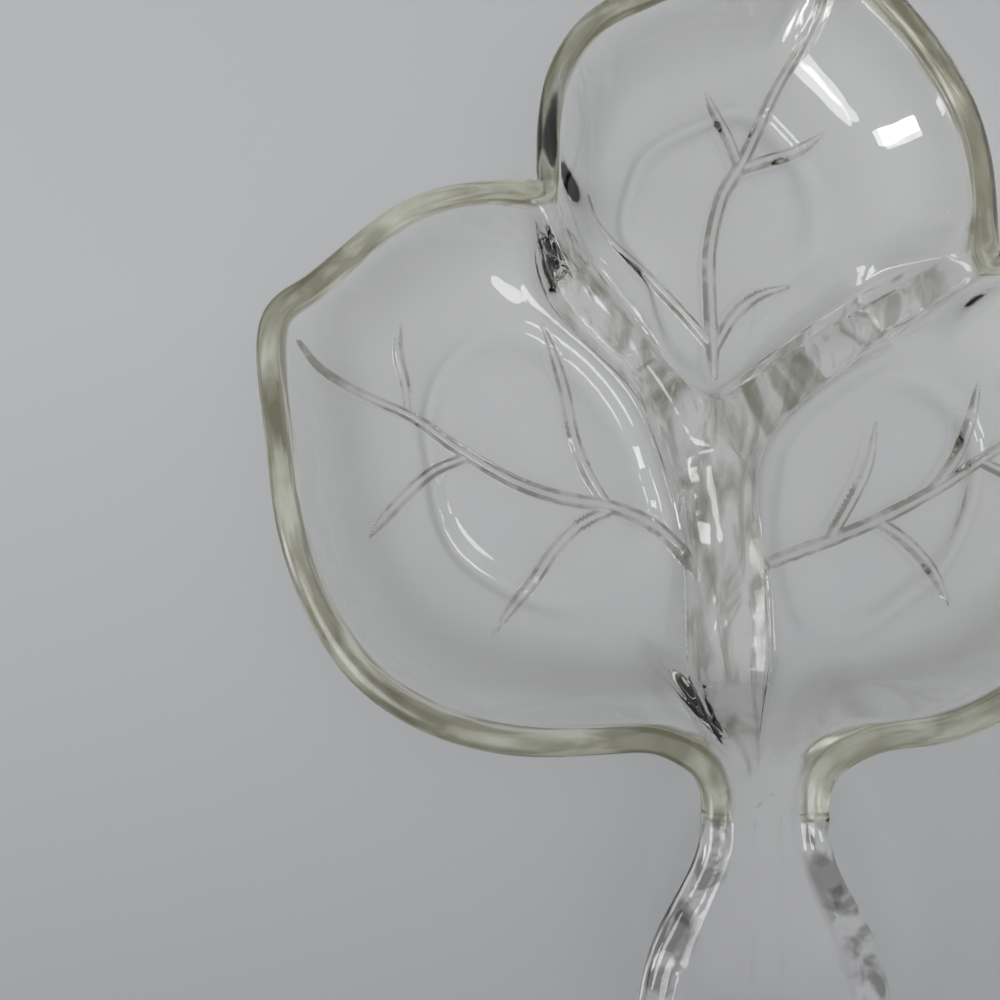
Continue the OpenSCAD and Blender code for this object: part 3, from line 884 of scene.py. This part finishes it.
@dataclass
class Studio:
    """The table, the lamps, the world and the camera.

    Attributes:
        table_size: length of the table's sides.
        table_near: place along the tray at which the painted shade on the table is darkest.
        table_far: place at which it is palest.
        painted_shade_grey: the table's grey towards the stem, darkened as painted shade.
        painted_lit_grey: the table's grey towards the top lobe, the palest end of the painted
            shade.
        table_roughness: roughness of the table.
        table_gloss: level of its gloss.
        low_sky: colour of the room at and under the table's height.
        high_sky: colour of the room overhead.
        high_sky_from: height of the gaze from which it has that colour.
        sky_strength: strength of the room's light.
        camera_place: where the camera is, looking straight down.
        camera_lens: focal length in millimetres.
        camera_near: nearest distance that it shows.
        lamp_place: where the soft lamp hangs.
        lamp_size: width of the lamp.
        lamp_power: power of the lamp.
        window_place: where the tall panel stands.
        window_size: width and height of the panel.
        window_power: power of the panel.
    """

    table_size: float = 10.0
    table_near: float = -0.16
    table_far: float = 0.06
    # Painted shade: the table is painted darker towards the stem than towards the top lobe.
    painted_shade_grey: tuple[float, float, float, float] = (0.310, 0.312, 0.318, 1.0)
    painted_lit_grey: tuple[float, float, float, float] = (0.442, 0.444, 0.451, 1.0)
    table_roughness: float = 0.6
    table_gloss: float = 0.2
    low_sky: tuple[float, float, float, float] = (0.26, 0.26, 0.255, 1.0)
    high_sky: tuple[float, float, float, float] = (0.97, 0.98, 1.0, 1.0)
    high_sky_from: float = 0.85
    sky_strength: float = 0.84
    camera_place: tuple[float, float, float] = (-0.0560, 0.0034, 0.212)
    camera_lens: float = 26.0
    camera_near: float = 0.01
    lamp_place: tuple[float, float, float] = (-0.9, -0.8, 2.0)
    lamp_size: float = 0.9
    lamp_power: float = 16.0
    window_place: tuple[float, float, float] = (-1.9, -0.5, 1.0)
    window_size: tuple[float, float] = (0.25, 1.1)
    window_power: float = 9.0

    def build(self) -> None:
        """Sets up everything round the tray."""
        scene = bpy.context.scene
        scene.view_settings.view_transform = "Standard"
        self.table()
        self.world()
        self.lamp()
        self.window()
        camera = bpy.data.cameras.new("camera")
        camera.lens = self.camera_lens
        camera.clip_start = self.camera_near
        holder = bpy.data.objects.new("camera", camera)
        holder.location = self.camera_place
        scene.collection.objects.link(holder)
        scene.camera = holder

    def table(self) -> bpy.types.Object:
        """Makes the pale grey table top, with painted shade that darkens it towards the stem.

        Returns:
            The table top.
        """
        flat = bmesh.new()
        bmesh.ops.create_grid(flat, x_segments=1, y_segments=1, size=self.table_size / 2)
        mesh = bpy.data.meshes.new("table")
        flat.to_mesh(mesh)
        flat.free()
        top = bpy.data.objects.new("table", mesh)
        bpy.context.scene.collection.objects.link(top)
        mat = bpy.data.materials.new("table_top")
        mat.use_nodes = True
        nodes, links = mat.node_tree.nodes, mat.node_tree.links
        surface = nodes["Principled BSDF"]
        place = nodes.new("ShaderNodeTexCoord")
        split = nodes.new("ShaderNodeSeparateXYZ")
        links.new(place.outputs["Object"], split.inputs["Vector"])
        # Painted shade: the table's grey darkens towards the stem, standing in for light falling
        # off.
        along = nodes.new("ShaderNodeMapRange")
        along.inputs["From Min"].default_value = self.table_near
        along.inputs["From Max"].default_value = self.table_far
        links.new(split.outputs["Y"], along.inputs["Value"])
        painted_falloff = nodes.new("ShaderNodeValToRGB")
        painted_falloff.color_ramp.elements[0].color = self.painted_shade_grey
        painted_falloff.color_ramp.elements[1].color = self.painted_lit_grey
        links.new(along.outputs["Result"], painted_falloff.inputs["Fac"])
        links.new(painted_falloff.outputs["Color"], surface.inputs["Base Color"])
        surface.inputs["Roughness"].default_value = self.table_roughness
        surface.inputs["Specular IOR Level"].default_value = self.table_gloss
        mesh.materials.append(mat)
        return top

    def world(self) -> None:
        """Lights the scene from a soft room, paler overhead than at its sides."""
        world = bpy.data.worlds.new("room")
        world.use_nodes = True
        nodes, links = world.node_tree.nodes, world.node_tree.links
        back = nodes["Background"]
        place = nodes.new("ShaderNodeTexCoord")
        split = nodes.new("ShaderNodeSeparateXYZ")
        links.new(place.outputs["Generated"], split.inputs["Vector"])
        ramp = nodes.new("ShaderNodeValToRGB")
        ramp.color_ramp.elements[0].color = self.low_sky
        ramp.color_ramp.elements[1].position = self.high_sky_from
        ramp.color_ramp.elements[1].color = self.high_sky
        links.new(split.outputs["Z"], ramp.inputs["Fac"])
        links.new(ramp.outputs["Color"], back.inputs["Color"])
        back.inputs["Strength"].default_value = self.sky_strength
        bpy.context.scene.world = world

    def lamp(self) -> None:
        """Hangs one soft lamp to the lower left."""
        lamp = bpy.data.lights.new("lamp", "AREA")
        lamp.shape = "DISK"
        lamp.size = self.lamp_size
        lamp.energy = self.lamp_power
        self.hang(lamp, self.lamp_place)

    def window(self) -> None:
        """Stands a tall soft panel at the left, which lights the glass and the table sideways."""
        panel = bpy.data.lights.new("window", "AREA")
        panel.shape = "RECTANGLE"
        panel.size, panel.size_y = self.window_size
        panel.energy = self.window_power
        self.hang(panel, self.window_place)

    def hang(self, light: bpy.types.Light, place: tuple[float, float, float]) -> None:
        """Puts a light in its place, aimed at the tray.

        Args:
            light: the light.
            place: where it hangs.
        """
        holder = bpy.data.objects.new(light.name, light)
        holder.location = place
        holder.rotation_mode = "QUATERNION"
        holder.rotation_quaternion = (-holder.location).to_track_quat("-Z", "Y")
        bpy.context.scene.collection.objects.link(holder)


def main() -> None:
    """Builds the tray and its surroundings."""
    logging.basicConfig(level=logging.INFO, format="%(name)s: %(message)s")
    tray = GlassBody().build()
    tray.data.materials.clear()
    tray.data.materials.append(ClearGlass().material())
    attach(tray, "root")
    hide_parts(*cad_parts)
    log.info("glass tray stands for %d regions", len(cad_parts))
    Studio().build()


if __name__ == "__main__":
    main()
